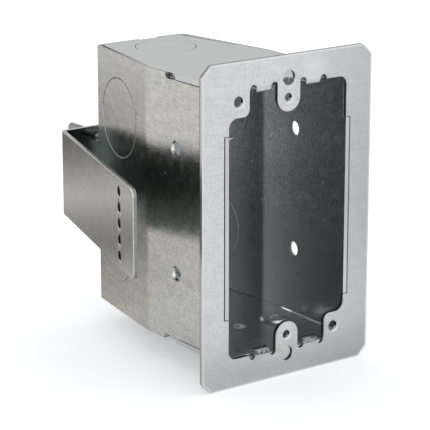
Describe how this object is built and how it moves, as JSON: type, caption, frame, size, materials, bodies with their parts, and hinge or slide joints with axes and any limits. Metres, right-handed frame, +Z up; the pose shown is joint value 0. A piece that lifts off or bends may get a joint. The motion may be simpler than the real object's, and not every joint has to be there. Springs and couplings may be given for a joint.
{
  "type": "masonry electrical box",
  "caption": "Deep masonry electrical box of folded galvanised sheet with a flat front plate, round knockouts, and a flared strip clamp that long screws draw forward against the wall.",
  "frame": {"origin": "middle of the front plate's front face, halfway between its screw holes", "axes": "+X to the right as seen from the front, +Y back into the wall, +Z up"},
  "size_m": [0.0901, 0.116, 0.1124],
  "materials": {
    "galvanised_sheet": "galvanised, fine mottled grain",
    "strip_steel": "galvanised, smoother, satin",
    "plated_screw": "zinc plated"
  },
  "bodies": {
    "box": {"front_plate": "galvanised_sheet", "box_body": "galvanised_sheet", "top_panel": "galvanised_sheet", "bottom_panel": "galvanised_sheet"},
    "clamp_bracket": {"clamp_bracket": "strip_steel"},
    "upper_clamp_screw": {"upper_clamp_screw": "plated_screw"},
    "lower_clamp_screw": {"lower_clamp_screw": "plated_screw"}
  },
  "joints": [
    {"name": "clamp_slide", "type": "slide", "parent": "box", "child": "clamp_bracket", "axis": [0, -1, 0], "range_m": [-0.015, 0.0072]},
    {"name": "upper_screw_turn", "type": "hinge", "parent": "box", "child": "upper_clamp_screw", "pos_m": [-0.0132, 0.0874, 0.0114], "axis": [0, 1, 0], "range_deg": [-6810, 3270]},
    {"name": "lower_screw_turn", "type": "hinge", "parent": "box", "child": "lower_clamp_screw", "pos_m": [-0.0132, 0.0874, -0.0114], "axis": [0, 1, 0], "range_deg": [-6810, 3270]}
  ],
  "couplings": [
    {"joint": "upper_screw_turn", "follows": "clamp_slide", "rad_per_m": 7915.8},
    {"joint": "lower_screw_turn", "follows": "clamp_slide", "rad_per_m": 7915.8}
  ]
}
